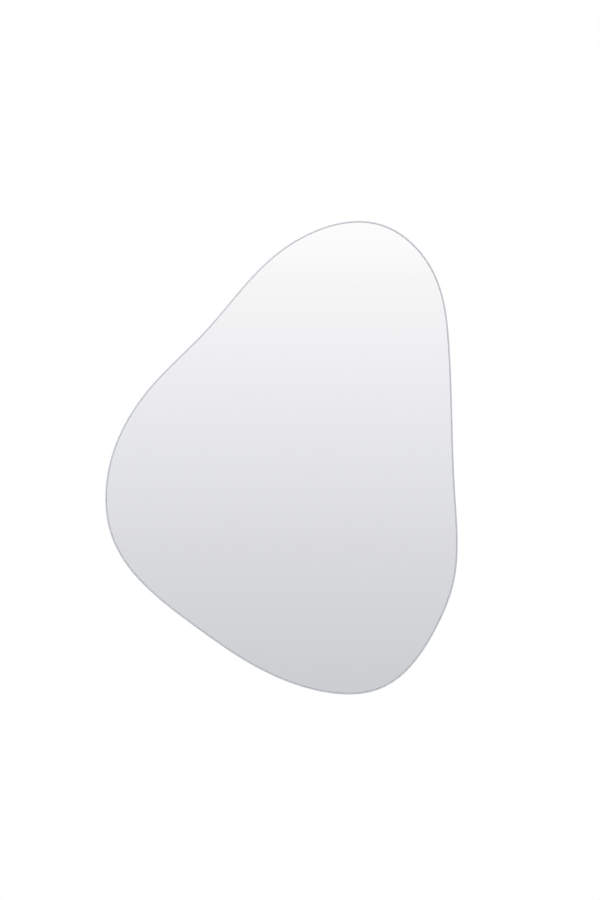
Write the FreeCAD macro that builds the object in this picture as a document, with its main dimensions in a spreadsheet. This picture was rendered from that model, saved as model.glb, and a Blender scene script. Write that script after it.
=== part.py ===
"""Irregular shaped wall mirror: a frameless pebble of silvered glass on a hidden backing board.

The frame is that of the hanging hardware. The origin lies midway between the two keyholes, in the
board's back face. +Z is up, +X is to the right of someone facing the mirror, and the glass faces -Y.
All sizes are millimetres.
"""
import FreeCAD, Part
import os
import Sketcher
from FreeCAD import Vector

# The outline of the glass, anticlockwise from the middle of the right side. The glass lies between
# two upright lines, left and right, and two level ones, top and bottom, which its outline touches.
# Each point is so far in from one of the upright lines and so far in from one of the level ones.
# One smooth closed curve runs through them all.
OUTLINE = {
    "right_flank": ("right", 3, "bottom", 213),
    "right_rise": ("right", 9, "top", 131),
    "right_shoulder": ("right", 28, "top", 49),
    "crown": ("right", 79, "top", 4),
    "upper_slope": ("left", 189, "top", 28),
    "hollow": ("left", 106, "top", 115),
    "left_slope": ("left", 44, "top", 179),
    "left_shoulder": ("left", 4, "bottom", 243),
    "left_bulge": ("left", 6, "bottom", 168),
    "lower_slope": ("left", 97, "bottom", 70),
    "knee": ("left", 189, "bottom", 15),
    "foot": ("right", 78, "bottom", 8),
    "heel": ("right", 21, "bottom", 74),
    "right_belly": ("right", 4, "bottom", 120),
}

SIZES = {
    # How far the glass reaches from the origin to each side: 372 wide and 500 tall.
    "left_reach": 209,
    "right_reach": 163,
    "top_reach": 174,
    "bottom_reach": 326,
    # The pane: float glass, its edge ground flat, with a polished arris front and back.
    "glass_thick": 4,
    "glass_arris": 1.2,
    # The coats on its back: silver, then the paint that protects it.
    "silver_thick": 0.1,
    "paint_thick": 0.1,
    # Foam mirror tape in upright strips, with beads of mirror silicone midway between them.
    "tape_thick": 1,
    "tape_wide": 25,
    "tape_pitch": 80,
    "tape_margin": 12,
    "bead_wide": 10,
    "bead_round": 0.4,
    # The backing board, set in from the glass all round so that it can't be seen from the front.
    "board_thick": 9,
    "board_inset": 15,
    "board_arris": 1,
    # Keyhole hanger plates, let in flush with the board's back face.
    "hanger_spacing": 160,
    "plate_wide": 56,
    "plate_tall": 28,
    "plate_thick": 1.5,
    "plate_lift": 3,
    "plate_gap": 0.3,
    "plate_round": 0.3,
    "entry_radius": 5,
    "slot_radius": 2.5,
    "slot_rise": 9,
    # The hollow behind each keyhole, where the head of the wall screw moves.
    "head_room_radius": 7,
    "head_room_deep": 4.5,
    # Countersunk wood screws that hold the plates.
    "screw_from_end": 8,
    "screw_long": 8,
    "screw_head_radius": 3,
    "screw_radius": 1.5,
    "screw_core_radius": 1.05,
    "screw_neck": 1,
    "screw_tip": 2,
    "screw_gap": 0.05,
    "plate_hole_gap": 0.2,
    "thread_pitch": 1.1,
    "thread_rise": 2.2,
    "thread_bite": 0.1,
    "recess_reach": 1.3,
    "recess_half_wide": 0.4,
    "recess_deep": 1.1,
    # Rubber bumpers that keep the board off the wall.
    "bumper_radius": 7,
    "bumper_face_radius": 6,
    "bumper_tall": 3,
    "bumper_round": 0.5,
    "bumper_margin": 8,
    "bumper_from_left": 139,
    "bumper_from_right": 73,
}

TAPE_STRIPS = 4
COUNTERSINK_ANGLE = 90
SAME_DEPTH = 0.01
FACE_ON = "XZ_Plane"
FROM_ABOVE = "XY_Plane"
FULL_TURN = 360
QUARTER_TURN = 90

doc = FreeCAD.newDocument("irregular_mirror")
dims = doc.addObject("Spreadsheet::Sheet", "Dims")
cells = []
pieces = []


def write_cell(alias, number):
    """Puts a number in the next row of the sheet, under its name, and gives the expression for it."""
    cells.append(alias)
    dims.set(f"A{len(cells)}", alias.replace("_", " "))
    dims.set(f"B{len(cells)}", str(number))
    dims.setAlias(f"B{len(cells)}", alias)
    return f"Dims.{alias}"


for size, number in SIZES.items():
    write_cell(size, number)

# How a distance in from each of the four lines is counted, and where that puts the rim's points.
LINES = {
    "left": "-Dims.left_reach +",
    "right": "Dims.right_reach -",
    "top": "Dims.top_reach -",
    "bottom": "-Dims.bottom_reach +",
}
rim_points = {}
for point, (side, from_side, level, from_level) in OUTLINE.items():
    across = write_cell(f"{point}_from_{side}", from_side)
    up = write_cell(f"{point}_from_{level}", from_level)
    rim_points[point] = (f"{LINES[side]} {across}", f"{LINES[level]} {up}")
doc.recompute()


# ---------------------------------------------------------------- bodies and sketches

def value(expression):
    """The number that an expression on the sheet gives now."""
    return float(dims.evalExpression(expression))


def place(piece, across="0", depth="0", up="0"):
    """Ties a piece's own origin to its place in the mirror and lists it among the pieces."""
    for axis, expression in (("x", across), ("y", depth), ("z", up)):
        piece.setExpression(f"Placement.Base.{axis}", expression)
    pieces.append(piece)


def new_body(label, **where):
    body = doc.addObject("PartDesign::Body", label)
    body.Label = label
    place(body, **where)
    return body


def origin_part(body, role):
    """The plane or axis of a body's own origin that has this role."""
    return next(part for part in body.Origin.OriginFeatures if part.Role == role)


def new_sketch(body, name, role=FACE_ON):
    """A sketch on one of the body's origin planes. On the face-on plane it is seen from the front."""
    sketch = body.newObject("Sketcher::SketchObject", name)
    sketch.AttachmentSupport = [(origin_part(body, role), "")]
    sketch.MapMode = "FlatFace"
    doc.recompute()
    return sketch


def bind(sketch, expression, kind, *geometry):
    """Adds a constraint whose value follows the expression."""
    number = sketch.addConstraint(Sketcher.Constraint(kind, *geometry, value(expression)))
    sketch.setExpression(f"Constraints[{number}]", expression)


def pin(sketch, item, point, across, up):
    """Ties one point of a sketch to its distances from the sketch's origin."""
    bind(sketch, across, "DistanceX", -1, 1, item, point)
    bind(sketch, up, "DistanceY", -1, 1, item, point)


def spot(across, up):
    """A point of a sketch from its two expressions."""
    return Vector(value(across), value(up), 0)


def draw_disc(sketch, radius, across, up):
    circle = sketch.addGeometry(Part.Circle(spot(across, up), Vector(0, 0, 1), value(radius)))
    bind(sketch, radius, "Radius", circle)
    pin(sketch, circle, 3, across, up)


def draw_obround(sketch, radius, start, end):
    """Two half circles joined by straight sides. Their centres are start and end: across, up."""
    one, two = spot(*start), spot(*end)
    along = (two - one).normalize() * value(radius)
    side = Vector(-along.y, along.x, 0)
    first = sketch.addGeometry(Part.Arc(one + side, one - along, one - side))
    below = sketch.addGeometry(Part.LineSegment(one - side, two - side))
    last = sketch.addGeometry(Part.Arc(two - side, two + along, two + side))
    above = sketch.addGeometry(Part.LineSegment(two + side, one + side))
    ring = [first, below, last, above]
    for item, following in zip(ring, ring[1:] + ring[:1]):
        sketch.addConstraint(Sketcher.Constraint("Tangent", item, 2, following, 1))
    sketch.addConstraint(Sketcher.Constraint("Equal", first, last))
    bind(sketch, radius, "Radius", first)
    pin(sketch, first, 3, *start)
    pin(sketch, last, 3, *end)


def draw_polygon(sketch, corners):
    """A closed outline of straight sides through corners, each an across and an up."""
    spots = [spot(*corner) for corner in corners]
    sides = [sketch.addGeometry(Part.LineSegment(a, b)) for a, b in zip(spots, spots[1:] + spots[:1])]
    for side, following in zip(sides, sides[1:] + sides[:1]):
        sketch.addConstraint(Sketcher.Constraint("Coincident", side, 2, following, 1))
    for side, corner in zip(sides, corners):
        pin(sketch, side, 1, *corner)


def draw_smooth_outline(sketch, points):
    """One closed curve through the points, with no corner and no jump of curvature."""
    spots = [spot(*point) for point in points]
    knots = [0.0]
    for here, following in zip(spots, spots[1:] + spots[:1]):
        knots.append(knots[-1] + (following - here).Length)
    curve = Part.BSplineCurve()
    curve.buildFromPolesMultsKnots(spots, [1] * len(knots), knots, True, 3)
    sketch.exposeInternalGeometry(sketch.addGeometry(curve))
    aligned = [rule.First for rule in sketch.Constraints if rule.Type == "InternalAlignment"]
    marks = [item for item in aligned if isinstance(sketch.Geometry[item], Part.Point)]
    for mark, point in zip(marks, points):
        pin(sketch, mark, 1, *point)


# ---------------------------------------------------------------- features

def pad(body, profile, thick):
    """A plate from the profile's plane towards the front."""
    feature = body.newObject("PartDesign::Pad", f"{body.Label}_pad")
    feature.Profile = profile
    feature.setExpression("Length", thick)
    doc.recompute()
    return feature


def pocket(body, sketch, deep):
    """Cuts the sketch's outlines into the body, from its back face towards the front."""
    feature = body.newObject("PartDesign::Pocket", f"{sketch.Label}_cut")
    feature.Profile = sketch
    feature.Reversed = True
    feature.setExpression("Length", deep)
    before = feature.BaseFeature.Shape.Volume
    doc.recompute()
    if feature.Shape.Volume >= before:
        raise RuntimeError(f"{feature.Label} cuts nothing")
    return feature


def revolve(body, sketch):
    """Turns a profile round the body's depth axis."""
    feature = body.newObject("PartDesign::Revolution", f"{body.Label}_turned")
    feature.Profile = sketch
    feature.ReferenceAxis = (origin_part(body, "Y_Axis"), [""])
    feature.Angle = FULL_TURN
    doc.recompute()
    return feature


def face_on_edges(feature, depths=None):
    """The edges that lie in a face-on plane: all of them, or those at the depths given."""
    names = []
    for number, edge in enumerate(feature.Shape.Edges, 1):
        depth = edge.Vertexes[0].Y
        flat = edge.BoundBox.YLength < SAME_DEPTH
        if flat and (depths is None or any(abs(depth - wanted) < SAME_DEPTH for wanted in depths)):
            names.append(f"Edge{number}")
    return names


def ease(body, feature, kind, size, depths=None):
    """Breaks the face-on edges of a feature: kind is Chamfer or Fillet."""
    eased = body.newObject(f"PartDesign::{kind}", f"{body.Label}_{kind.lower()}")
    eased.Base = (feature, face_on_edges(feature, depths))
    eased.setExpression("Size" if kind == "Chamfer" else "Radius", size)
    doc.recompute()
    return eased


# ---------------------------------------------------------------- the outline of the glass

board_back = "0"
board_front = "-Dims.board_thick"
paint_back = f"{board_front} - Dims.tape_thick"
silver_back = f"{paint_back} - Dims.paint_thick"
glass_back = f"{silver_back} - Dims.silver_thick"

pane = new_body("mirror_pane", depth=glass_back)
pane_outline = new_sketch(pane, "pane_outline")
draw_smooth_outline(pane_outline, list(rim_points.values()))
doc.recompute()

# The way inwards, square to the curve, at each of the rim's points.
inward = {}
rim_curve = pane_outline.Geometry[0]
for point, knot in zip(rim_points, rim_curve.getKnots()):
    along = rim_curve.tangent(knot)[0]
    inward[point] = Vector(-along.y, along.x, 0)


def inset_points(inset):
    """The rim's points, each moved inwards by the inset."""
    points = []
    for point, (across, up) in rim_points.items():
        way = inward[point]
        points.append((f"{across} + {way.x:.4f} * ({inset})", f"{up} + {way.y:.4f} * ({inset})"))
    return points


def write_span(label, inset, *stations):
    """Notes in the sheet the lowest and highest level that a piece may reach at all the stations,
    if it keeps the inset from the rim of the glass, and gives the two expressions."""
    curve = Part.BSplineCurve()
    curve.interpolate([spot(*point) for point in inset_points(inset)], PeriodicFlag=True)
    field = Part.Face(Part.Wire([curve.toShape()]))
    box = field.BoundBox
    lines = [Part.makeLine(Vector(across, box.YMin, 0), Vector(across, box.YMax, 0)) for across in stations]
    chords = [field.common(line).BoundBox for line in lines]
    low = max(chord.YMin for chord in chords)
    high = min(chord.YMax for chord in chords)
    return write_cell(f"{label}_low", round(low, 1)), write_cell(f"{label}_high", round(high, 1))


# How far the strips of tape, the beads of silicone and the bumpers may reach.
adhesive_inset = "Dims.board_inset + Dims.tape_margin"
tape_centre = "(Dims.right_reach - Dims.left_reach) / 2"
middle = (TAPE_STRIPS + 1) / 2
strip_spans = []
bead_spans = []
for number in range(1, TAPE_STRIPS + 1):
    across = f"{tape_centre} + {number - middle} * Dims.tape_pitch"
    edges = [value(f"{across} + {side} * Dims.tape_wide / 2") for side in (-1, 1)]
    strip_spans.append((across, *write_span(f"tape_strip_{number}", adhesive_inset, *edges)))
for number in range(1, TAPE_STRIPS):
    across = f"{tape_centre} + {number + 0.5 - middle} * Dims.tape_pitch"
    bead_spans.append((across, *write_span(f"adhesive_bead_{number}", adhesive_inset, value(across))))

bumper_inset = "Dims.board_inset + Dims.bumper_margin + Dims.bumper_radius"
bumper_spots = []
for side in ("left", "right"):
    across = f"{LINES[side]} Dims.bumper_from_{side}"
    low, high = write_span(f"bumper_{side}", bumper_inset, value(across))
    bumper_spots += [(f"lower_{side}", across, low), (f"upper_{side}", across, high)]
doc.recompute()


# ---------------------------------------------------------------- the pane and its coats

ease(pane, pad(pane, pane_outline, "Dims.glass_thick"), "Chamfer", "Dims.glass_arris")


def make_coat(label, depth, thick):
    """A coat that covers the flat of the pane's back, inside the rear arris."""
    coat = new_body(label, depth=depth)
    outline = new_sketch(coat, f"{label}_outline")
    draw_smooth_outline(outline, inset_points("Dims.glass_arris"))
    pad(coat, outline, thick)


make_coat("silver_layer", silver_back, "Dims.silver_thick")
make_coat("back_paint", paint_back, "Dims.paint_thick")


# ---------------------------------------------------------------- tape and silicone

def make_tape_strip(label, across, low, high):
    """A straight length of tape, cut square at both ends."""
    strip = doc.addObject("Part::Box", label)
    strip.Label = label
    strip.setExpression("Length", "Dims.tape_wide")
    strip.setExpression("Width", "Dims.tape_thick")
    strip.setExpression("Height", f"{high} - {low}")
    place(strip, across=f"{across} - Dims.tape_wide / 2", depth=paint_back, up=low)


def make_adhesive_bead(label, across, low, high):
    """A bead squeezed to the tape's thickness, its free edges rounded."""
    bead = new_body(label, across=across, depth=board_front)
    plan = new_sketch(bead, f"{label}_plan")
    ends = (("0", f"{low} + Dims.bead_wide / 2"), ("0", f"{high} - Dims.bead_wide / 2"))
    draw_obround(plan, "Dims.bead_wide / 2", *ends)
    ease(bead, pad(bead, plan, "Dims.tape_thick"), "Fillet", "Dims.bead_round")


for number, span in enumerate(strip_spans, 1):
    make_tape_strip(f"tape_strip_{number}", *span)
for number, span in enumerate(bead_spans, 1):
    make_adhesive_bead(f"adhesive_bead_{number}", *span)


# ---------------------------------------------------------------- the backing board

board = new_body("backing_board", depth=board_back)
board_outline = new_sketch(board, "board_outline")
draw_smooth_outline(board_outline, inset_points("Dims.board_inset"))
ease(board, pad(board, board_outline, "Dims.board_thick"), "Chamfer", "Dims.board_arris")

left_keyhole = "-Dims.hanger_spacing / 2"
plate_end = "(Dims.plate_wide - Dims.plate_tall) / 2"
screw_reach = "(Dims.plate_wide / 2 - Dims.screw_from_end)"

rebate_plan = new_sketch(board, "plate_rebate")
draw_obround(
    rebate_plan,
    "Dims.plate_tall / 2 + Dims.plate_gap",
    (f"{left_keyhole} - {plate_end}", "Dims.plate_lift"),
    (f"{left_keyhole} + {plate_end}", "Dims.plate_lift"),
)
rebate = pocket(board, rebate_plan, "Dims.plate_thick")

head_room_plan = new_sketch(board, "head_room")
draw_obround(head_room_plan, "Dims.head_room_radius", (left_keyhole, "0"), (left_keyhole, "Dims.slot_rise"))
head_room = pocket(board, head_room_plan, "Dims.plate_thick + Dims.head_room_deep")

pilot_plan = new_sketch(board, "pilot_holes")
for side in "-+":
    across = f"{left_keyhole} {side} {screw_reach}"
    draw_disc(pilot_plan, "Dims.screw_radius + Dims.screw_gap", across, "Dims.plate_lift")
pilots = pocket(board, pilot_plan, "Dims.screw_long + Dims.screw_gap")

both_sides = board.newObject("PartDesign::Mirrored", "both_sides")
both_sides.Originals = [rebate, head_room, pilots]
both_sides.MirrorPlane = (origin_part(board, "YZ_Plane"), [""])
board.Tip = both_sides


# ---------------------------------------------------------------- hanger plates and their screws

def make_hanger_plate(label, across):
    """A stamped plate with a keyhole: the screw head enters at the wide hole, the slot is above it."""
    plate = new_body(label, across=across, depth=board_back)
    outline = new_sketch(plate, f"{label}_outline")
    ends = ((f"-{plate_end}", "Dims.plate_lift"), (plate_end, "Dims.plate_lift"))
    draw_obround(outline, "Dims.plate_tall / 2", *ends)
    ease(plate, pad(plate, outline, "Dims.plate_thick"), "Fillet", "Dims.plate_round")
    entry = new_sketch(plate, f"{label}_entry")
    draw_disc(entry, "Dims.entry_radius", "0", "0")
    pocket(plate, entry, "Dims.plate_thick")
    slot = new_sketch(plate, f"{label}_slot")
    draw_obround(slot, "Dims.slot_radius", ("0", "0"), ("0", "Dims.slot_rise"))
    pocket(plate, slot, "Dims.plate_thick")
    spots = new_sketch(plate, f"{label}_screw_spots")
    for side in "-+":
        draw_disc(spots, "Dims.screw_radius", f"{side}{screw_reach}", "Dims.plate_lift")
    holes = plate.newObject("PartDesign::Hole", f"{label}_holes")
    holes.Profile = spots
    doc.recompute()
    holes.Reversed = True
    holes.DepthType = "ThroughAll"
    holes.HoleCutType = "Countersink"
    holes.HoleCutCustomValues = True
    holes.setExpression("Diameter", "2 * (Dims.screw_radius + Dims.plate_hole_gap)")
    holes.setExpression("HoleCutDiameter", "2 * Dims.screw_head_radius")
    holes.HoleCutCountersinkAngle = COUNTERSINK_ANGLE


def make_hanger_screw(label, across):
    """A countersunk wood screw, its head flush with the plate and its point towards the glass."""
    screw = new_body(label, across=across, depth=board_back, up="Dims.plate_lift")
    head_deep = "(Dims.screw_head_radius - Dims.screw_radius)"
    neck_end = f"{head_deep} + Dims.screw_neck"
    taper_start = "(Dims.screw_long - Dims.screw_tip)"
    profile = new_sketch(screw, f"{label}_profile", FROM_ABOVE)
    draw_polygon(profile, (
        ("0", "0"),
        ("Dims.screw_head_radius", "0"),
        ("Dims.screw_radius", f"-{head_deep}"),
        ("Dims.screw_radius", f"-({neck_end})"),
        ("Dims.screw_core_radius", f"-({neck_end} + Dims.screw_radius - Dims.screw_core_radius)"),
        ("Dims.screw_core_radius", f"-{taper_start}"),
        ("0", "-Dims.screw_long"),
    ))
    revolve(screw, profile)
    tooth = new_sketch(screw, f"{label}_tooth", FROM_ABOVE)
    root = "(Dims.screw_core_radius - Dims.thread_bite)"
    draw_polygon(tooth, (
        (root, f"-{taper_start} - Dims.thread_pitch / 4"),
        ("Dims.screw_radius", f"-{taper_start}"),
        (root, f"-{taper_start} + Dims.thread_pitch / 4"),
    ))
    thread = screw.newObject("PartDesign::AdditiveHelix", f"{label}_thread")
    thread.Profile = tooth
    thread.ReferenceAxis = (origin_part(screw, "Y_Axis"), [""])
    thread.Mode = "pitch-height-angle"
    thread.setExpression("Pitch", "Dims.thread_pitch")
    thread.setExpression("Height", "Dims.thread_rise")
    doc.recompute()
    arm = new_sketch(screw, f"{label}_recess")
    reach = "(Dims.recess_reach - Dims.recess_half_wide)"
    draw_obround(arm, "Dims.recess_half_wide", (f"-{reach}", "0"), (reach, "0"))
    cut = pocket(screw, arm, "Dims.recess_deep")
    cross = screw.newObject("PartDesign::PolarPattern", f"{label}_cross")
    cross.Originals = [cut]
    cross.Axis = (origin_part(screw, "Y_Axis"), [""])
    cross.Angle = QUARTER_TURN
    cross.Occurrences = 2
    screw.Tip = cross


for side, sign in (("left", "-"), ("right", "")):
    make_hanger_plate(f"hanger_plate_{side}", f"{sign}Dims.hanger_spacing / 2")
    for end, step in (("outer", "+"), ("inner", "-")):
        across = f"{sign}(Dims.hanger_spacing / 2 {step} {screw_reach})"
        make_hanger_screw(f"hanger_screw_{side}_{end}", across)


# ---------------------------------------------------------------- wall bumpers

def make_wall_bumper(label, across, up):
    """A rubber button stuck to the board, a little narrower where it meets the wall."""
    bumper = new_body(label, across=across, depth=board_back, up=up)
    profile = new_sketch(bumper, f"{label}_profile", FROM_ABOVE)
    draw_polygon(profile, (
        ("0", "0"),
        ("Dims.bumper_radius", "0"),
        ("Dims.bumper_face_radius", "Dims.bumper_tall"),
        ("0", "Dims.bumper_tall"),
    ))
    ease(bumper, revolve(bumper, profile), "Fillet", "Dims.bumper_round", [value("Dims.bumper_tall")])


for corner, across, up in bumper_spots:
    make_wall_bumper(f"wall_bumper_{corner}", across, up)


# ---------------------------------------------------------------- check and write

doc.recompute()
for item in doc.Objects:
    if "Invalid" in item.State or "Error" in item.State:
        raise RuntimeError(f"{item.Label} failed: {item.State}")
for piece in pieces:
    if piece.Shape.isNull() or not piece.Shape.isValid():
        raise RuntimeError(f"{piece.Label} has no valid shape")

os.makedirs("parts", exist_ok=True)
for piece in pieces:
    piece.Shape.exportStep(f"parts/{piece.Label}.step")
    print(f"{piece.Label}: {piece.Shape.Volume:.1f} mm3, {len(piece.Shape.Solids)} solid")
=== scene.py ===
# %% [markdown]
# # A frameless pebble mirror
# The construction is already there: the pane with its ground edge, the two coats on its back, the
# backing board, the keyhole plates and their screws. This lesson gives each of them its finish, and
# remakes the soft pieces (foam tape, silicone, rubber) as the loose shapes that they really are.
# Everything is in metres. The mirror faces -Y, +Z is up, and the wall is on the +Y side.

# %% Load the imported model
import math

import bpy
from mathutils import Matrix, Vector


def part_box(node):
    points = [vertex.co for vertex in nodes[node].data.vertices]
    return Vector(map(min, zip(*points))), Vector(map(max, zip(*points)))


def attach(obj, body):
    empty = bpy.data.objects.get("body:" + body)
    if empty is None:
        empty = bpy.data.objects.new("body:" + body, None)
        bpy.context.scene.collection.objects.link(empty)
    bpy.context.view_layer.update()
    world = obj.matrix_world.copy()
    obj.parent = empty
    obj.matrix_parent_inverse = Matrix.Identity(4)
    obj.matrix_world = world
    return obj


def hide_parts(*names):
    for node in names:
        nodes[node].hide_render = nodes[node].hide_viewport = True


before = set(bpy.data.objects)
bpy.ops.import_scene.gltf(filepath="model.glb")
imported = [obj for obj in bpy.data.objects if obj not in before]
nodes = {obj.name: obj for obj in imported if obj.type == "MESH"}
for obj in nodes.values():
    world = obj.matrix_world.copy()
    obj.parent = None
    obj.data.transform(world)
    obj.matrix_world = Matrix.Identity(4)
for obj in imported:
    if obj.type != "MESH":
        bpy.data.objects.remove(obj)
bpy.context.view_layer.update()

MM = 0.001
BODY = "root"
print("pieces:", len(nodes))

# %% [markdown]
# ## The camera
# The picture looks straight at the glass. The pane fills a known part of the picture, so the scale
# in metres a pixel follows from its height. From that come the point that the middle of the picture
# shows, and the lens that makes the picture exactly that tall at the glass.

# %% Camera
PICTURE_WIDE, PICTURE_TALL = 600, 900    # pixels
PANE_LEFT, PANE_RIGHT = 105.2, 457.7     # pixels from the left side of the picture
PANE_TOP, PANE_BOTTOM = 220.7, 694.7     # pixels from its top
VIEW_DISTANCE = 2.4                      # metres from the camera to the glass
SENSOR_TALL = 36                         # millimetres, as lenses are given

pane_low, pane_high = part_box("mirror_pane")
pixel = (pane_high.z - pane_low.z) / (PANE_BOTTOM - PANE_TOP)
view_across = (pane_low.x + pane_high.x) / 2 + pixel * (PICTURE_WIDE - PANE_LEFT - PANE_RIGHT) / 2
view_up = (pane_low.z + pane_high.z) / 2 - pixel * (PICTURE_TALL - PANE_TOP - PANE_BOTTOM) / 2

bpy.ops.object.select_all(action="DESELECT")
bpy.ops.object.camera_add(
    location=(view_across, pane_low.y - VIEW_DISTANCE, view_up), rotation=(math.radians(90), 0, 0)
)
camera = bpy.context.object
camera.data.sensor_fit = "VERTICAL"
camera.data.sensor_height = SENSOR_TALL
camera.data.lens = SENSOR_TALL * VIEW_DISTANCE / (pixel * PICTURE_TALL)
bpy.context.scene.camera = camera
bpy.context.scene.view_settings.view_transform = "Standard"
print(f"{pixel / MM:.4f} mm a pixel, lens {camera.data.lens:.1f} mm")

# %% [markdown]
# ## Helpers for finishes
# A finish is a small network of shader nodes. Written out in full, each node takes four or five
# lines, so one helper adds a node and sets or links its sockets in a single call. The others make
# what every finish here needs: a pattern laid on Object coordinates, and a bump made from it.

# %% Node helpers
# A Mix node has sockets for numbers, vectors and colours. These are its factor and its colours.
MIX_FACTOR, MIX_FIRST, MIX_SECOND, MIX_RESULT = 0, 6, 7, 2


def add(tree, kind, sockets=(), **settings):
    """Adds a node. Each socket, by name or number, is given a value or another node's output."""
    node = tree.nodes.new(kind)
    for name, setting in settings.items():
        setattr(node, name, setting)
    for name, value in dict(sockets).items():
        if isinstance(value, bpy.types.NodeSocket):
            tree.links.new(value, node.inputs[name])
        else:
            node.inputs[name].default_value = value
    return node


def maths(tree, operation, first, second=0.0):
    """One sum. Each side is a number or another node's output."""
    return add(tree, "ShaderNodeMath", {0: first, 1: second}, operation=operation).outputs[0]


def times(tree, first, *others):
    """The product of all that is given."""
    product = first
    for factor in others:
        product = maths(tree, "MULTIPLY", product, factor)
    return product


def off(tree, value, middle):
    """How far a value lies from a number, to either side."""
    return maths(tree, "ABSOLUTE", maths(tree, "SUBTRACT", value, middle))


def distance(tree, one_way, other_way):
    """The straight distance that two offsets square to each other make."""
    squares = (times(tree, one_way, one_way), times(tree, other_way, other_way))
    return maths(tree, "SQRT", maths(tree, "ADD", *squares))


def blend_numbers(tree, factor, low, high):
    """Runs from one number to the other as the factor goes from 0 to 1."""
    sockets = {"Value": factor, "To Min": low, "To Max": high}
    return add(tree, "ShaderNodeMapRange", sockets).outputs[0]


def step_up(tree, value, start, end):
    """0 below start, 1 above end, and a smooth rise between them."""
    sockets = {"Value": value, "From Min": start, "From Max": end}
    return add(tree, "ShaderNodeMapRange", sockets, interpolation_type="SMOOTHSTEP").outputs[0]


def opaque(colour):
    """Gives a written colour its fourth number. A node's output passes as it is."""
    return (*colour, 1) if isinstance(colour, tuple) else colour


def blend_colours(tree, factor, first, second):
    """Runs from one colour to the other as the factor goes from 0 to 1."""
    sockets = {MIX_FACTOR: factor, MIX_FIRST: opaque(first), MIX_SECOND: opaque(second)}
    return add(tree, "ShaderNodeMix", sockets, data_type="RGBA").outputs[MIX_RESULT]


def places(tree):
    """The point's own X, Y and Z on the piece, in metres."""
    spot = add(tree, "ShaderNodeTexCoord")
    return add(tree, "ShaderNodeSeparateXYZ", {0: spot.outputs["Object"]}).outputs


def grain(tree, scale, stretch=(1, 1, 1), detail=3.0, roughness=0.5):
    """Noise of so many lumps a metre. A stretch under 1 draws the lumps out along that axis."""
    spot = add(tree, "ShaderNodeTexCoord")
    laid = add(tree, "ShaderNodeMapping", {"Vector": spot.outputs["Object"], "Scale": stretch})
    sockets = {"Vector": laid.outputs[0], "Scale": scale, "Detail": detail, "Roughness": roughness}
    return add(tree, "ShaderNodeTexNoise", sockets).outputs[0]


def facing_depth(tree):
    """How squarely a face looks to the front or the back: 1 on the flats, 0 on the rim."""
    geometry = add(tree, "ShaderNodeNewGeometry")
    tilt = add(tree, "ShaderNodeSeparateXYZ", {0: geometry.outputs["True Normal"]})
    return maths(tree, "ABSOLUTE", tilt.outputs[1])


def bump(tree, height, deep, under=None):
    """Raises the surface by up to deep metres where the height is 1, over another bump if given."""
    sockets = {"Height": height, "Distance": deep, "Strength": 1.0}
    if under is not None:
        sockets["Normal"] = under
    return add(tree, "ShaderNodeBump", sockets).outputs[0]


def new_finish(name, **constants):
    """A finish with one shader. The constants are set on the shader's own sockets."""
    finish = bpy.data.materials.new(name)
    finish.use_nodes = True
    shader = finish.node_tree.nodes["Principled BSDF"]
    for socket, value in constants.items():
        shader.inputs[socket.replace("_", " ")].default_value = value
    return finish, finish.node_tree, shader


def connect(tree, shader, **sockets):
    """Links each named socket of the shader to the output given for it."""
    for socket, output in sockets.items():
        tree.links.new(output, shader.inputs[socket.replace("_", " ")])


def dress(finish, *pieces):
    """Gives the pieces this finish and no other."""
    for piece in pieces:
        piece.data.materials.clear()
        piece.data.materials.append(finish)
    print(finish.name, "on", ", ".join(piece.name for piece in pieces))


# %% [markdown]
# ## Helpers for shapes
# New pieces are made as by hand, with operators in edit mode. An operator acts on what is selected,
# so one helper opens a piece with nothing selected, and one selects by place or by normal.
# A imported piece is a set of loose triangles. Where it needs softer edges it is copied, its points
# are joined, and the triangles of each flat are dissolved into one whole face, so that a bevel
# finds real edges to round.

# %% Shape helpers
JOIN_WITHIN = 0.001 * MM
NEAR = 0.005 * MM
FLAT_WITHIN = math.radians(0.2)
SQUARE = 0.9999


def at(value, place):
    """True where a coordinate is at this place, apart from rounding."""
    return abs(value - place) < NEAR


def edit(piece):
    """Opens one piece alone for editing, with nothing in it selected."""
    bpy.ops.object.select_all(action="DESELECT")
    bpy.context.view_layer.objects.active = piece
    piece.select_set(True)
    bpy.ops.object.mode_set(mode="EDIT")
    bpy.ops.mesh.select_all(action="DESELECT")


def pick(piece, kind, test):
    """Selects the faces, edges or vertices that pass the test, and only those."""
    bpy.ops.mesh.select_mode(type=kind)
    bpy.ops.mesh.select_all(action="DESELECT")
    bpy.ops.object.mode_set(mode="OBJECT")
    mesh = piece.data
    if kind == "FACE":
        for face in mesh.polygons:
            face.select = test(face.center, face.normal)
    elif kind == "EDGE":
        for line in mesh.edges:
            line.select = test(*(mesh.vertices[number].co for number in line.vertices))
    else:
        for corner in mesh.vertices:
            corner.select = test(corner.co)
    bpy.ops.object.mode_set(mode="EDIT")


def close_edit(piece):
    """Leaves edit mode and says how large the mesh has become."""
    bpy.ops.object.mode_set(mode="OBJECT")
    print(f"{piece.name}: {len(piece.data.polygons)} faces")


def joined_copy(node, name):
    """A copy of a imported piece, open for editing, with the points of its triangles joined."""
    piece = bpy.data.objects.new(name, nodes[node].data.copy())
    bpy.context.scene.collection.objects.link(piece)
    edit(piece)
    bpy.ops.mesh.customdata_custom_splitnormals_clear()
    bpy.ops.mesh.select_all(action="SELECT")
    bpy.ops.mesh.remove_doubles(threshold=JOIN_WITHIN)
    return piece


def whole_copy(node, name):
    """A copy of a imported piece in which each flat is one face."""
    piece = joined_copy(node, name)
    bpy.ops.mesh.dissolve_limited(angle_limit=FLAT_WITHIN)
    close_edit(piece)
    bpy.ops.object.shade_flat()
    return piece


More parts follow.
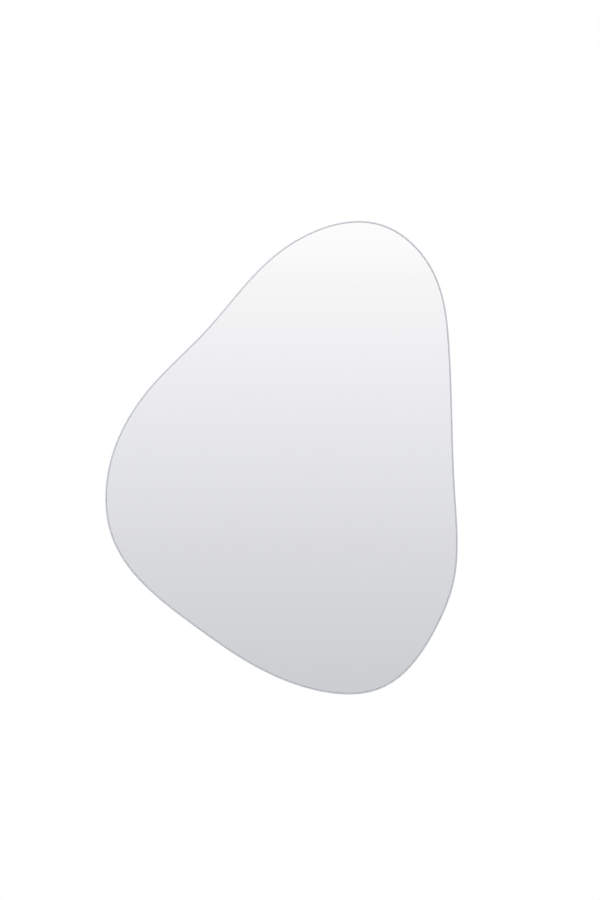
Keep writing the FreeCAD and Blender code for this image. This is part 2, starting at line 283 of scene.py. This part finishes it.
def round_edges(piece, width, segments, angle):
    """Bevels every edge sharper than the angle in degrees and smooths the shading, except on the
    front and the back: shared smooth normals would make a flat mirror reflect like a bowl."""
    bpy.context.view_layer.objects.active = piece
    rounding = piece.modifiers.new("round", "BEVEL")
    rounding.width = width
    rounding.segments = segments
    rounding.limit_method = "ANGLE"
    rounding.angle_limit = math.radians(angle)
    bpy.ops.object.modifier_apply(modifier=rounding.name)
    bpy.ops.object.shade_smooth_by_angle(angle=math.radians(angle))
    edit(piece)
    pick(piece, "FACE", lambda centre, normal: abs(normal.y) > SQUARE)
    bpy.ops.mesh.faces_shade_flat()
    close_edit(piece)


def stand_for(piece, node):
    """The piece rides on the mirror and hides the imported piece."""
    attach(piece, BODY)
    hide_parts(node)


# %% [markdown]
# ## Helpers for the glass outline
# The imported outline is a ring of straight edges, 3 degrees from each to the next. A polished rim
# shows every one of those turns as a break in its highlight. So the ring is taken out of a copy,
# made a curve, and given automatic handles, which lead it smoothly through the same points. Made a
# mesh again, with three more points on each stretch, it is filled and extruded into a slab.

# %% Outline helpers
POINTS_A_STRETCH = 4


def smooth_ring(node, name, depth):
    """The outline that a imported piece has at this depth, as one closed ring of short edges."""
    ring = joined_copy(node, name)
    pick(ring, "VERT", lambda spot: not at(spot.y, depth))
    bpy.ops.mesh.delete(type="VERT")
    bpy.ops.mesh.select_all(action="SELECT")
    bpy.ops.mesh.dissolve_limited(angle_limit=FLAT_WITHIN)
    bpy.ops.mesh.select_all(action="SELECT")
    bpy.ops.mesh.delete(type="ONLY_FACE")
    bpy.ops.object.mode_set(mode="OBJECT")
    bpy.ops.object.convert(target="CURVE")
    bpy.ops.object.mode_set(mode="EDIT")
    bpy.ops.curve.select_all(action="SELECT")
    bpy.ops.curve.spline_type_set(type="BEZIER")
    bpy.ops.curve.handle_type_set(type="AUTOMATIC")
    bpy.ops.object.mode_set(mode="OBJECT")
    splines = ring.data.splines
    for spline in splines:
        spline.resolution_u = POINTS_A_STRETCH
    print(f"{name}: {len(splines)} ring of {len(splines[0].bezier_points)} points")
    bpy.ops.object.convert(target="MESH")
    return ring


def smooth_slab(node, name, depth, front, back):
    """A slab that has the piece's outline at this depth and reaches from front to back."""
    slab = smooth_ring(node, name, depth)
    edit(slab)
    bpy.ops.mesh.select_all(action="SELECT")
    bpy.ops.transform.translate(value=(0, front - depth, 0))
    bpy.ops.mesh.edge_face_add()
    bpy.ops.mesh.extrude_region_move(TRANSFORM_OT_translate={"value": (0, back - front, 0)})
    bpy.ops.mesh.select_all(action="SELECT")
    bpy.ops.mesh.normals_make_consistent(inside=False)
    close_edit(slab)
    return slab


# %% [markdown]
# ## The glass
# The pane is 4 mm float glass. Its face is fire polished and perfectly smooth. The rim is ground by
# a diamond wheel, which leaves fine lines along it, and then polished to a satin, so the arris
# scatters light. The thin grey line that is all one sees of the edge from the front is partly that
# and partly painted shade: the arris is given a grey-blue colour that stands in for the darkness of
# the line. Two finishes on one piece do this: clear glass all over, and ground glass on the faces
# that don't look straight to the front or the back. The green of float glass comes from the iron in
# it and grows with the way that the light has gone, so the ground edge between the two arrises,
# which is seen through the whole pane, is the only green part. The wheel never leaves a knife edge,
# so the corners of the rim are rounded by a tenth of a millimetre.

# %% Glass pane
ARRIS = 1.2 * MM
CORNER_ROUND = 0.12 * MM

glass_front, glass_back = pane_low.y, pane_high.y
pane = smooth_slab("mirror_pane", "float_glass_pane", glass_front + ARRIS, glass_front, glass_back)


def on_one_flat(one, two):
    """True for an edge that lies wholly in the front or wholly in the back of the pane."""
    return any(at(one.y, flat) and at(two.y, flat) for flat in (glass_front, glass_back))


edit(pane)
pick(pane, "EDGE", on_one_flat)
bpy.ops.mesh.bevel(offset=ARRIS, segments=1)
close_edit(pane)
round_edges(pane, CORNER_ROUND, segments=2, angle=25)
stand_for(pane, "mirror_pane")

# %% Clear glass
GLASS_IOR = 1.52
GLASS_TINT = (0.992, 0.998, 0.996, 1)
SMEAR_ROUGHNESS = 0.006

clear, tree, shader = new_finish(
    "float_glass", IOR=GLASS_IOR, Transmission_Weight=1.0, Base_Color=GLASS_TINT
)
smears = step_up(tree, grain(tree, 9, detail=2), 0.52, 0.75)
connect(tree, shader, Roughness=blend_numbers(tree, smears, 0.0, SMEAR_ROUGHNESS))
dress(clear, pane)

# %% Ground rim
FLAT_FROM = 0.98
RIM_CLEAR = 0.15
SATIN_LEAST, SATIN_MOST = 0.20, 0.32
FROSTING = 0.06
WHEEL_MARK_DEEP = 0.003 * MM
EDGE_GREENS = (0.32, 0.48, 0.44), (0.44, 0.60, 0.56)
# The arris's grey-blue is painted shade over the ground glass's own tone: it darkens the rim line.
ARRIS_PAINTED_SHADE_GREYS = (0.645, 0.685, 0.74), (0.715, 0.755, 0.81)

ground, tree, shader = new_finish(
    "ground_glass_rim", IOR=GLASS_IOR, Transmission_Weight=RIM_CLEAR
)
on_arris = step_up(tree, facing_depth(tree), 0.15, 0.35)
wheel_marks = grain(tree, 520, (0.02, 8, 0.02), detail=1)
frosting = grain(tree, 1600, detail=2)
satin = blend_numbers(tree, wheel_marks, SATIN_LEAST, SATIN_MOST)
lines = step_up(tree, wheel_marks, 0.3, 0.7)
edge_tone = blend_colours(tree, lines, *EDGE_GREENS)
# Painted shade: the arris's grey-blue stands in for the darkness of the rim line.
arris_tone_and_painted_shade = blend_colours(tree, lines, *ARRIS_PAINTED_SHADE_GREYS)
connect(
    tree,
    shader,
    Base_Color=blend_colours(tree, on_arris, edge_tone, arris_tone_and_painted_shade),
    Roughness=maths(tree, "ADD", satin, times(tree, frosting, FROSTING)),
    Normal=bump(tree, wheel_marks, WHEEL_MARK_DEEP),
)
pane.data.materials.append(ground)
edit(pane)
pick(pane, "FACE", lambda centre, normal: abs(normal.y) < FLAT_FROM)
pane.active_material_index = 1
bpy.ops.object.material_slot_assign()
close_edit(pane)
rim_faces = sum(face.material_index for face in pane.data.polygons)
print(ground.name, "on", rim_faces, "faces of the rim")

# %% [markdown]
# ## The silver
# The reflecting coat is chemically grown on the glass, so no air lies between the two. A separate
# solid that only touches the glass would leave it open which of the two faces a ray meets first.
# So the front of this slab is let 0.02 mm into the glass: a ray in the glass then always meets
# silver, as it does in a real mirror.

# %% Silver coat
INTO_GLASS = 0.02 * MM
SILVER_TINTS = (0.984, 0.984, 0.986), (0.990, 0.990, 0.991)
SILVER_ROUGHNESS = 0.006

silver_low, silver_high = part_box("silver_layer")
silver_front = silver_low.y - INTO_GLASS
silver = smooth_slab("silver_layer", "silvering", silver_low.y, silver_front, silver_high.y)
bpy.ops.object.shade_flat()
stand_for(silver, "silver_layer")

bright, tree, shader = new_finish("bright_silver", Metallic=1.0)
cloud = grain(tree, 14, detail=4)
connect(
    tree,
    shader,
    Base_Color=blend_colours(tree, cloud, *SILVER_TINTS),
    Roughness=blend_numbers(tree, cloud, 0.0, SILVER_ROUGHNESS),
)
dress(bright, silver)

# %% [markdown]
# ## The backing paint
# The paint is poured over the silver as a curtain while the sheet runs under it, so it has faint
# streaks in one direction and a soft, slightly leathery surface. It shows only as the 15 mm border
# round the board.

# %% Backing paint
PAINT_GREYS = (0.31, 0.33, 0.34), (0.48, 0.50, 0.51)
FLECK_GREY = (0.20, 0.21, 0.22)
STREAK_DEEP, LEATHER_DEEP = 0.05 * MM, 0.03 * MM

paint, tree, shader = new_finish("mirror_backing_paint", Specular_IOR_Level=0.45)
streaks = grain(tree, 110, (0.04, 1, 1), detail=5, roughness=0.6)
leather = grain(tree, 850, detail=2)
shade = blend_colours(tree, streaks, *PAINT_GREYS)
flecks = step_up(tree, grain(tree, 2400, detail=1), 0.64, 0.72)
connect(
    tree,
    shader,
    Base_Color=blend_colours(tree, times(tree, flecks, 0.35), shade, FLECK_GREY),
    Roughness=blend_numbers(tree, leather, 0.42, 0.58),
    Normal=bump(tree, leather, LEATHER_DEEP, under=bump(tree, streaks, STREAK_DEEP)),
)
dress(paint, nodes["back_paint"])

# %% [markdown]
# ## The backing board
# Fibreboard, sprayed satin black. Lacquer dries with a fine orange peel, and along the broken edge
# it is thin and gets rubbed, so a little brown comes through there. The pockets for the hanger
# plates are milled after spraying and show the bare board: a second finish, told from the first by
# depth and by its distance from the plates.

# %% Lacquered board
BOARD_ROUND = 0.25 * MM

board = whole_copy("backing_board", "lacquered_board")
round_edges(board, BOARD_ROUND, segments=2, angle=30)
stand_for(board, "backing_board")

# %% Where the board is bare
BARE_FROM = 0.1 * MM
POCKET_REACH = 3 * MM

plate_low, plate_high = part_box("hanger_plate_right")
plate_middle = (plate_low + plate_high) / 2
reach_across = (plate_high.x - plate_low.x) / 2 + POCKET_REACH
reach_up = (plate_high.z - plate_low.z) / 2 + POCKET_REACH
board_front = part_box("backing_board")[0].y

board_finish, tree, shader = new_finish("black_lacquered_board", Specular_IOR_Level=0.38)
x, y, z = places(tree)
off_plate = off(tree, maths(tree, "ABSOLUTE", x), plate_middle.x)
near_across = maths(tree, "LESS_THAN", off_plate, reach_across)
near_up = maths(tree, "LESS_THAN", off(tree, z, plate_middle.z), reach_up)
in_from_back = maths(tree, "LESS_THAN", y, -BARE_FROM)
in_from_front = maths(tree, "GREATER_THAN", y, board_front + BARE_FROM)
bare = times(tree, near_across, near_up, in_from_back, in_from_front)
print(f"bare within {reach_across / MM:.1f} by {reach_up / MM:.1f} mm of the middle of a plate")

# %% Fibres and lacquer
FIBRE_BROWNS = (0.235, 0.150, 0.085), (0.510, 0.365, 0.230)
LACQUER_BLACKS = (0.011, 0.011, 0.012), (0.018, 0.018, 0.019)
DUST_GREY = (0.22, 0.21, 0.19)
RUBBED_BROWN = (0.16, 0.11, 0.07)
FIBRE_DEEP, PEEL_DEEP = 0.12 * MM, 0.035 * MM
FIBRE_ROUGHNESS = 0.88

fibres = grain(tree, 1500, (1, 0.4, 1), detail=5, roughness=0.65)
wood = blend_colours(tree, fibres, *FIBRE_BROWNS)
peel = grain(tree, 420, detail=2)
facing = facing_depth(tree)
on_chamfer = times(tree, step_up(tree, facing, 0.3, 0.5), step_up(tree, facing, 0.95, 0.85))
rubbed = times(tree, on_chamfer, step_up(tree, grain(tree, 190, detail=5), 0.60, 0.72))
scuffs = step_up(tree, grain(tree, 52, (1, 1, 0.6), detail=8, roughness=0.7), 0.55, 0.78)
specks = step_up(tree, grain(tree, 1300, detail=2), 0.70, 0.76)
lacquer = blend_colours(tree, scuffs, *LACQUER_BLACKS)
dusty = blend_colours(tree, times(tree, specks, 0.25), lacquer, DUST_GREY)
worn = blend_colours(tree, times(tree, rubbed, 0.35), dusty, RUBBED_BROWN)
gloss = maths(tree, "ADD", blend_numbers(tree, peel, 0.24, 0.30), times(tree, scuffs, 0.12))
coated = maths(tree, "SUBTRACT", 1.0, bare)
peel_bump = bump(tree, times(tree, peel, coated), PEEL_DEEP)
connect(
    tree,
    shader,
    Base_Color=blend_colours(tree, bare, worn, wood),
    Roughness=blend_numbers(tree, bare, gloss, FIBRE_ROUGHNESS),
    Normal=bump(tree, times(tree, fibres, bare), FIBRE_DEEP, under=peel_bump),
)
dress(board_finish, board)

# %% [markdown]
# ## Hanger plates and screws
# Pressed steel with bright zinc. Zinc has a cold, slightly blue shine, broken up by fine lines from
# the rolled sheet, and cloudy from handling. The screws have the same coat, but duller, with fine
# rings from the turning. They turn a dull brown, and rougher, the deeper one goes into the cross
# recess, and round the rim of the head. The four screws share one finish: the distance from the
# nearest screw's axis is found by folding X about the middle of the mirror and again about the
# middle of a pair.

# %% Zinc plate
ZINC_GREYS = (0.43, 0.46, 0.51), (0.62, 0.63, 0.64)
ROLL_LINE_GREY = (0.34, 0.35, 0.37)
SPOT_GREY = (0.26, 0.27, 0.28)
ROLL_LINE_DEEP = 0.02 * MM

zinc, tree, shader = new_finish("bright_zinc_plate", Metallic=1.0)
clouds = step_up(tree, grain(tree, 110, detail=6, roughness=0.65), 0.35, 0.65)
rolled = grain(tree, 1400, (0.02, 1, 1), detail=3)
roll_lines = step_up(tree, rolled, 0.45, 0.7)
spots = step_up(tree, grain(tree, 1100, detail=2), 0.62, 0.70)
shine = blend_colours(tree, clouds, *ZINC_GREYS)
lined = blend_colours(tree, times(tree, roll_lines, 0.35), shine, ROLL_LINE_GREY)
cloudy_gloss = blend_numbers(tree, clouds, 0.20, 0.36)
connect(
    tree,
    shader,
    Base_Color=blend_colours(tree, times(tree, spots, 0.5), lined, SPOT_GREY),
    Roughness=maths(tree, "ADD", cloudy_gloss, times(tree, rolled, 0.14)),
    Normal=bump(tree, rolled, ROLL_LINE_DEEP),
)
dress(zinc, *(nodes[f"hanger_plate_{side}"] for side in ("left", "right")))

# %% Where the screws are
outer_low, outer_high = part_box("hanger_screw_right_outer")
inner_low, inner_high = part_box("hanger_screw_right_inner")
outer_middle = (outer_low + outer_high) / 2
inner_middle = (inner_low + inner_high) / 2
head_radius = (outer_high.x - outer_low.x) / 2
pair_middle = (outer_middle.x + inner_middle.x) / 2
pair_half = (outer_middle.x - inner_middle.x) / 2

steel, tree, shader = new_finish("zinc_screw_steel", Metallic=1.0)
x, y, z = places(tree)
off_pair = off(tree, maths(tree, "ABSOLUTE", x), pair_middle)
off_axis = maths(tree, "SUBTRACT", off_pair, pair_half)
off_level = maths(tree, "SUBTRACT", z, outer_middle.z)
from_axis = distance(tree, off_axis, off_level)
print(f"screw heads {2 * head_radius / MM:.1f} mm across, {2 * pair_half / MM:.0f} mm apart")

# %% Screw steel
RECESS_FROM, RECESS_TO = -0.15 * MM, -0.8 * MM
HEAD_RIM = 0.45 * MM
RINGS_A_METRE = 6000
STEEL_GREYS = (0.36, 0.37, 0.38), (0.58, 0.56, 0.53)
RECESS_AND_RIM_BROWN = (0.10, 0.095, 0.09)
RING_DEEP, PIT_DEEP = 0.012 * MM, 0.01 * MM

turning = {"W": from_axis, "Scale": RINGS_A_METRE, "Detail": 2.0}
rings = add(tree, "ShaderNodeTexNoise", turning, noise_dimensions="1D").outputs[0]
# Browner and rougher the deeper into the cross recess, and round the rim of the head.
in_recess = step_up(tree, y, RECESS_FROM, RECESS_TO)
at_rim = step_up(tree, from_axis, head_radius - HEAD_RIM, head_radius)
darker_in_recess_and_rim = maths(tree, "MAXIMUM", in_recess, at_rim)
clouds = grain(tree, 420, detail=4)
metal = blend_colours(tree, clouds, *STEEL_GREYS)
cloudy_gloss = blend_numbers(tree, clouds, 0.26, 0.44)
pits = bump(tree, grain(tree, 2600, detail=2), PIT_DEEP)
connect(
    tree,
    shader,
    Base_Color=blend_colours(tree, times(tree, darker_in_recess_and_rim, 0.7), metal, RECESS_AND_RIM_BROWN),
    Roughness=maths(tree, "ADD", cloudy_gloss, times(tree, darker_in_recess_and_rim, 0.2)),
    Normal=bump(tree, rings, RING_DEEP, under=pits),
)
screw_places = [f"{side}_{end}" for side in ("left", "right") for end in ("outer", "inner")]
dress(steel, *(nodes[f"hanger_screw_{place}"] for place in screw_places))

# %% [markdown]
# ## Foam tape
# Mirror tape is closed cell foam between two films of glue. Pressed between glass and board it
# bulges a little at its sides, and each length is cut by hand, never quite square. A box at the
# tape's own place is the start. A cut half way through its thickness gives the row of points that
# the sides bulge by, a sheared end makes the hand cut, and a small bevel softens the long edges.

# %% Foam tape strips
TAPE_BULGE = 0.25 * MM
TAPE_BEVEL = 0.15 * MM
END_SLANTS = (0.9 * MM, -0.6 * MM, 0.4 * MM, -1.0 * MM)


def new_block(name, low, high):
    """A box between two corners, its place in its mesh."""
    bpy.ops.object.select_all(action="DESELECT")
    bpy.ops.mesh.primitive_cube_add(size=1, location=(low + high) / 2)
    block = bpy.context.object
    block.name = name
    block.scale = high - low
    bpy.ops.object.transform_apply(location=True, rotation=True, scale=True)
    return block


def slice_at(point, way):
    """Cuts everything selected by a plane and leaves both sides in place."""
    bpy.ops.mesh.select_all(action="SELECT")
    bpy.ops.mesh.bisect(plane_co=point, plane_no=way)


strips = []
for number, slant in enumerate(END_SLANTS, 1):
    node = f"tape_strip_{number}"
    low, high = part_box(node)
    strip = new_block(f"foam_tape_{number}", low, high)
    middle = (low + high) / 2
    edit(strip)
    slice_at(middle, (0, 1, 0))
    for side, edge in ((-1, low.x), (1, high.x)):
        pick(strip, "VERT", lambda spot: at(spot.x, edge) and at(spot.y, middle.y))
        bpy.ops.transform.translate(value=(side * TAPE_BULGE, 0, 0))
    for end, inward in ((high.z, -1), (low.z, 1)):
        pick(strip, "VERT", lambda spot: at(spot.z, end) and (spot.x - middle.x) * slant > 0)
        bpy.ops.transform.translate(value=(0, 0, inward * abs(slant)))
    close_edit(strip)
    round_edges(strip, TAPE_BEVEL, segments=2, angle=40)
    stand_for(strip, node)
    strips.append(strip)

# %% White foam
FOAM_WHITES = (0.76, 0.76, 0.72), (0.90, 0.90, 0.87)
CELLS_A_METRE = 2600.0
CELL_DEEP = 0.10 * MM

foam, tree, shader = new_finish("white_foam_tape", Subsurface_Weight=0.15, Subsurface_Scale=0.001)
spot = add(tree, "ShaderNodeTexCoord").outputs["Object"]
bubbles = add(tree, "ShaderNodeTexVoronoi", {"Vector": spot, "Scale": CELLS_A_METRE})
cells = bubbles.outputs["Distance"]
tone = grain(tree, 700, detail=2)
connect(
    tree,
    shader,
    Base_Color=blend_colours(tree, tone, *FOAM_WHITES),
    Roughness=blend_numbers(tree, cells, 0.70, 0.90),
    Normal=bump(tree, cells, CELL_DEEP),
)
dress(foam, *strips)

# %% [markdown]
# ## Silicone beads
# A bead of silicone is laid as a round string and squeezed to the tape's thickness, so its width
# wanders along its length. The start is again a box. It is sliced every few millimetres, and each
# slice is then widened or drawn in a little, by the sum of two waves that never fall together.

# %% Silicone beads
BEADS = 3
SLICE_EVERY = 5 * MM
MEAN_WIDTH = 0.84
LONG_WAVE, SHORT_WAVE = 61 * MM, 23 * MM
LONG_SWING, SHORT_SWING = 0.10, 0.06
BEAD_ROUND = 0.35 * MM
END_LENGTH = 7 * MM
END_SLICES = (0.1, 0.35)
NARROWEST_SQUARED = 0.04    # the tip stays a fifth as wide as the bead


def bead_width(z, low, high, start):
    """The share of its full width that the bead has at this height."""
    long_wave = LONG_SWING * math.sin(math.tau * z / LONG_WAVE + start)
    short_wave = SHORT_SWING * math.sin(math.tau * z / SHORT_WAVE)
    wander = long_wave + short_wave
    from_end = min(z - low, high - z, END_LENGTH) / END_LENGTH
    tip = math.sqrt(max(1 - (1 - from_end) ** 2, NARROWEST_SQUARED))
    return (MEAN_WIDTH + wander) * tip


beads = []
for number in range(1, BEADS + 1):
    node = f"adhesive_bead_{number}"
    low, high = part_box(node)
    bead = new_block(f"silicone_bead_{number}", low, high)
    middle = (low + high) / 2
    slices = round((high.z - low.z) / SLICE_EVERY)
    levels = [low.z + (high.z - low.z) * step / slices for step in range(slices + 1)]
    tip_levels = [low.z + END_LENGTH * share for share in END_SLICES]
    tip_levels += [high.z - END_LENGTH * share for share in END_SLICES]
    edit(bead)
    for level in sorted(levels[1:-1] + tip_levels):
        slice_at((0, 0, level), (0, 0, 1))
    for level in sorted(levels + tip_levels):
        pick(bead, "VERT", lambda spot: at(spot.z, level))
        share = bead_width(level, low.z, high.z, number)
        bpy.ops.transform.resize(value=(share, 1, 1), center_override=(middle.x, middle.y, level))
    close_edit(bead)
    round_edges(bead, BEAD_ROUND, segments=3, angle=50)
    stand_for(bead, node)
    beads.append(bead)

# %% Silicone
SILICONE_WHITES = (0.72, 0.75, 0.75), (0.86, 0.87, 0.86)
LUMP_DEEP = 0.08 * MM

silicone, tree, shader = new_finish(
    "clear_silicone",
    IOR=1.41,
    Transmission_Weight=0.35,
    Subsurface_Weight=0.25,
    Subsurface_Scale=0.002,
)
lumps = grain(tree, 180, detail=3)
connect(
    tree,
    shader,
    Base_Color=blend_colours(tree, lumps, *SILICONE_WHITES),
    Roughness=blend_numbers(tree, lumps, 0.22, 0.38),
    Normal=bump(tree, lumps, LUMP_DEEP),
)
dress(silicone, *beads)

# %% [markdown]
# ## Rubber bumpers
# Four moulded buttons. One is made and copied. It starts as a cylinder, its wall side is drawn in
# to give the mould its draft, the rim there is rounded, and a face is inset and let in four times.
# The first step is steep and the others ever flatter: the dish that lets the button grip the wall.

# %% Rubber bumpers
BUMPER_SIDES = 64
DRAFT = 6 / 7
RIM_ROUND = 0.5 * MM
RIM_SEGMENTS = 5
RING_WIDE = 1.3 * MM
DISH_WIDE = 2.6 * MM
DISH_DEEP = 0.6 * MM
# Each step's share of the dish's width and of its depth.
DISH_STEPS = ((0.08, 0.45), (0.17, 0.27), (0.30, 0.18), (0.45, 0.10))
SMOOTH_UNDER = math.radians(35)
corners = [f"{level}_{side}" for level in ("lower", "upper") for side in ("left", "right")]


def make_bumper(name, low, high):
    """One bumper between two corners of its box."""
    bpy.ops.object.select_all(action="DESELECT")
    bpy.ops.mesh.primitive_cylinder_add(
        vertices=BUMPER_SIDES,
        radius=(high.x - low.x) / 2,
        depth=high.y - low.y,
        location=(low + high) / 2,
        rotation=(math.radians(90), 0, 0),
    )
    bumper = bpy.context.object
    bumper.name = name
    bpy.ops.object.transform_apply(location=True, rotation=True, scale=True)
    middle = (low + high) / 2
    edit(bumper)
    pick(bumper, "FACE", lambda centre, normal: normal.y > FLAT_FROM)
    bpy.ops.transform.resize(value=(DRAFT, 1, DRAFT), center_override=(middle.x, high.y, middle.z))
    bpy.ops.mesh.inset(thickness=RING_WIDE)
    for inward, down in DISH_STEPS:
        bpy.ops.mesh.inset(thickness=DISH_WIDE * inward)
        bpy.ops.transform.translate(value=(0, -DISH_DEEP * down, 0))
    rim = (high.x - low.x) / 2 * DRAFT

    def on_rim(one, two):
        """True for an edge that lies wholly on the outer ring of the wall side."""
        return all(
            at(spot.y, high.y) and at(math.hypot(spot.x - middle.x, spot.z - middle.z), rim)
            for spot in (one, two)
        )

    pick(bumper, "EDGE", on_rim)
    bpy.ops.mesh.bevel(offset=RIM_ROUND, segments=RIM_SEGMENTS)
    close_edit(bumper)
    bpy.ops.object.shade_smooth_by_angle(angle=SMOOTH_UNDER)
    return bumper


first_low, first_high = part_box(f"wall_bumper_{corners[0]}")
model = make_bumper(f"rubber_bumper_{corners[0]}", first_low, first_high)
bumpers = [model]
for corner in corners[1:]:
    bumper = model.copy()
    bumper.data = model.data.copy()
    bumper.name = f"rubber_bumper_{corner}"
    bpy.context.scene.collection.objects.link(bumper)
    bpy.ops.object.select_all(action="DESELECT")
    bumper.select_set(True)
    bpy.context.view_layer.objects.active = bumper
    bpy.ops.transform.translate(value=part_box(f"wall_bumper_{corner}")[0] - first_low)
    bpy.ops.object.transform_apply(location=True, rotation=True, scale=True)
    bumpers.append(bumper)
for corner, bumper in zip(corners, bumpers):
    stand_for(bumper, f"wall_bumper_{corner}")

# %% Black rubber
RUBBER_BLACK, DUSTED_GREY = (0.022, 0.022, 0.023), (0.11, 0.11, 0.105)
RUBBER_GRAIN_DEEP = 0.02 * MM

rubber, tree, shader = new_finish("black_rubber", Specular_IOR_Level=0.5)
fine = grain(tree, 1900, detail=4)
dust = step_up(tree, grain(tree, 320, detail=6, roughness=0.7), 0.50, 0.80)
connect(
    tree,
    shader,
    Base_Color=blend_colours(tree, times(tree, dust, 0.35), RUBBER_BLACK, DUSTED_GREY),
    Roughness=blend_numbers(tree, fine, 0.44, 0.66),
    Normal=bump(tree, fine, RUBBER_GRAIN_DEEP),
)
dress(rubber, *bumpers)

# %% [markdown]
# ## The room
# A mirror has no colour of its own: what one sees in it is the room. Seen straight on, it shows
# the narrow band of the surroundings right behind the camera, only six degrees above and below the
# level, so the soft shade down the face is a soft shade in the world. The world is plain white to
# the camera. To reflections and to light that has gone through glass it is a pale room that darkens
# towards the floor, with two greyer walls left and right that draw the rim as a line. To everything
# else it is a soft light, a little stronger from above than from below.

# %% World
WHITE = (1.0, 1.0, 1.0)
LIT_BELOW, LIT_ABOVE = 0.60, 0.72
WALL_FROM, WALL_TO = 0.25, 0.95
WALL_SHADE = 0.72
# How steeply a direction rises, from -1 to 1, and the colour of the room there.
ROOM = (
    (-0.60, (0.80, 0.80, 0.81)),
    (-0.30, (0.74, 0.74, 0.75)),
    (-0.16, (0.64, 0.65, 0.67)),
    (-0.105, (0.61, 0.62, 0.64)),
    (-0.045, (0.71, 0.71, 0.73)),
    (0.0, (0.80, 0.80, 0.82)),
    (0.045, (0.89, 0.88, 0.90)),
    (0.068, (0.93, 0.92, 0.93)),
    (0.09, (1.0, 0.98, 0.99)),
    (0.30, (1.0, 1.0, 1.0)),
    (0.85, (0.82, 0.82, 0.83)),
)

world = bpy.data.worlds.new("studio")
bpy.context.scene.world = world
world.use_nodes = True
tree = world.node_tree
way = add(tree, "ShaderNodeTexCoord").outputs["Generated"]
direction = add(tree, "ShaderNodeSeparateXYZ", {0: way}).outputs
across, rise = direction["X"], direction["Z"]

lowest, highest = ROOM[0][0], ROOM[-1][0]
height_range = {"Value": rise, "From Min": lowest, "From Max": highest}
level = add(tree, "ShaderNodeMapRange", height_range).outputs[0]
shades = add(tree, "ShaderNodeValToRGB", {0: level})
stops = shades.color_ramp.elements
while len(stops) < len(ROOM):
    stops.new(1.0)
for stop, (height, colour) in zip(stops, ROOM):
    stop.position = (height - lowest) / (highest - lowest)
    stop.color = opaque(colour)

at_wall = step_up(tree, maths(tree, "ABSOLUTE", across), WALL_FROM, WALL_TO)
dimmed = {0: shades.outputs[0], "Scale": blend_numbers(tree, at_wall, 1.0, WALL_SHADE)}
room = add(tree, "ShaderNodeVectorMath", dimmed, operation="SCALE").outputs[0]
lit = blend_numbers(tree, step_up(tree, rise, -1.0, 1.0), LIT_BELOW, LIT_ABOVE)
ray = add(tree, "ShaderNodeLightPath").outputs
in_gloss_or_glass = maths(tree, "MAXIMUM", ray["Is Glossy Ray"], ray["Is Transmission Ray"])
reflected = blend_colours(tree, in_gloss_or_glass, lit, room)
seen = blend_colours(tree, ray["Is Camera Ray"], reflected, WHITE)
tree.links.new(seen, tree.nodes["Background"].inputs["Color"])
print("world:", len(ROOM), "shades")

# %% [markdown]
# ## Floor and lamps
# The floor is a large disc well below the mirror. Near the middle it is a pale matt surface that
# keeps the mirror's soft shadow, and further out the camera sees it fade to the white of the room,
# so it has no visible end. Reflections show the room instead of the floor, and from below it isn't
# seen at all. Large soft lamps model the edges: one in front, high up and a little to the left, and
# two behind, for the lacquer and the metal. The front one is kept out of the reflection, where it
# would show as a white square.

# %% Floor
FLOOR_DROP = 0.46
FLOOR_RADIUS = 3.0
FLOOR_SIDES = 96

bpy.ops.object.select_all(action="DESELECT")
bpy.ops.mesh.primitive_circle_add(
    vertices=FLOOR_SIDES,
    radius=FLOOR_RADIUS,
    fill_type="NGON",
    location=(0, 0, pane_low.z - FLOOR_DROP),
)
floor = bpy.context.object
floor.name = "floor"
bpy.ops.object.transform_apply(location=True, rotation=True, scale=True)
floor.visible_glossy = False
floor.visible_transmission = False
print(f"floor {FLOOR_DROP} m below the glass")

# %% Pale floor
FADE_FROM, FADE_TO = 0.45, 1.15
FLOOR_GREYS = (0.83, 0.83, 0.83), (0.86, 0.86, 0.86)


def blend_shaders(tree, factor, first, second):
    """Shows the first shader where the factor is 0 and the second where it is 1."""
    return add(tree, "ShaderNodeMixShader", {0: factor, 1: first, 2: second}).outputs[0]


pale, tree, shader = new_finish("pale_floor", Roughness=0.9, Specular_IOR_Level=0.2)
spot = places(tree)
from_middle = distance(tree, spot["X"], spot["Y"])
mottle = grain(tree, 4, detail=5)
connect(tree, shader, Base_Color=blend_colours(tree, mottle, *FLOOR_GREYS))
to_camera = add(tree, "ShaderNodeLightPath").outputs["Is Camera Ray"]
from_below = add(tree, "ShaderNodeNewGeometry").outputs["Backfacing"]
faded = times(tree, step_up(tree, from_middle, FADE_FROM, FADE_TO), to_camera)
white = add(tree, "ShaderNodeEmission", {"Color": opaque(WHITE)}).outputs[0]
unseen = add(tree, "ShaderNodeBsdfTransparent").outputs[0]
above = blend_shaders(tree, faded, shader.outputs[0], white)
both = blend_shaders(tree, times(tree, from_below, to_camera), above, unseen)
tree.links.new(both, tree.nodes["Material Output"].inputs["Surface"])
dress(pale, floor)

# %% Lamps
def add_lamp(name, place, size, power, mirrored):
    """A square soft lamp that looks at the middle of the pane and isn't seen itself."""
    bpy.ops.object.select_all(action="DESELECT")
    bpy.ops.object.light_add(type="AREA", location=place)
    lamp = bpy.context.object
    lamp.name = name
    lamp.data.size = size
    lamp.data.energy = power
    aim = (pane_low + pane_high) / 2 - Vector(place)
    lamp.rotation_euler = aim.to_track_quat("-Z", "Y").to_euler()
    lamp.visible_camera = False
    lamp.visible_glossy = mirrored
    print(name, "at", place, f"{size} m, {power} W")


add_lamp("front_lamp", (-0.8, -1.7, 1.9), size=1.1, power=24, mirrored=False)
add_lamp("back_lamp", (1.3, 1.7, 1.3), size=2.6, power=13, mirrored=True)
add_lamp("low_back_lamp", (-1.8, 1.6, 0.1), size=1.8, power=7, mirrored=True)
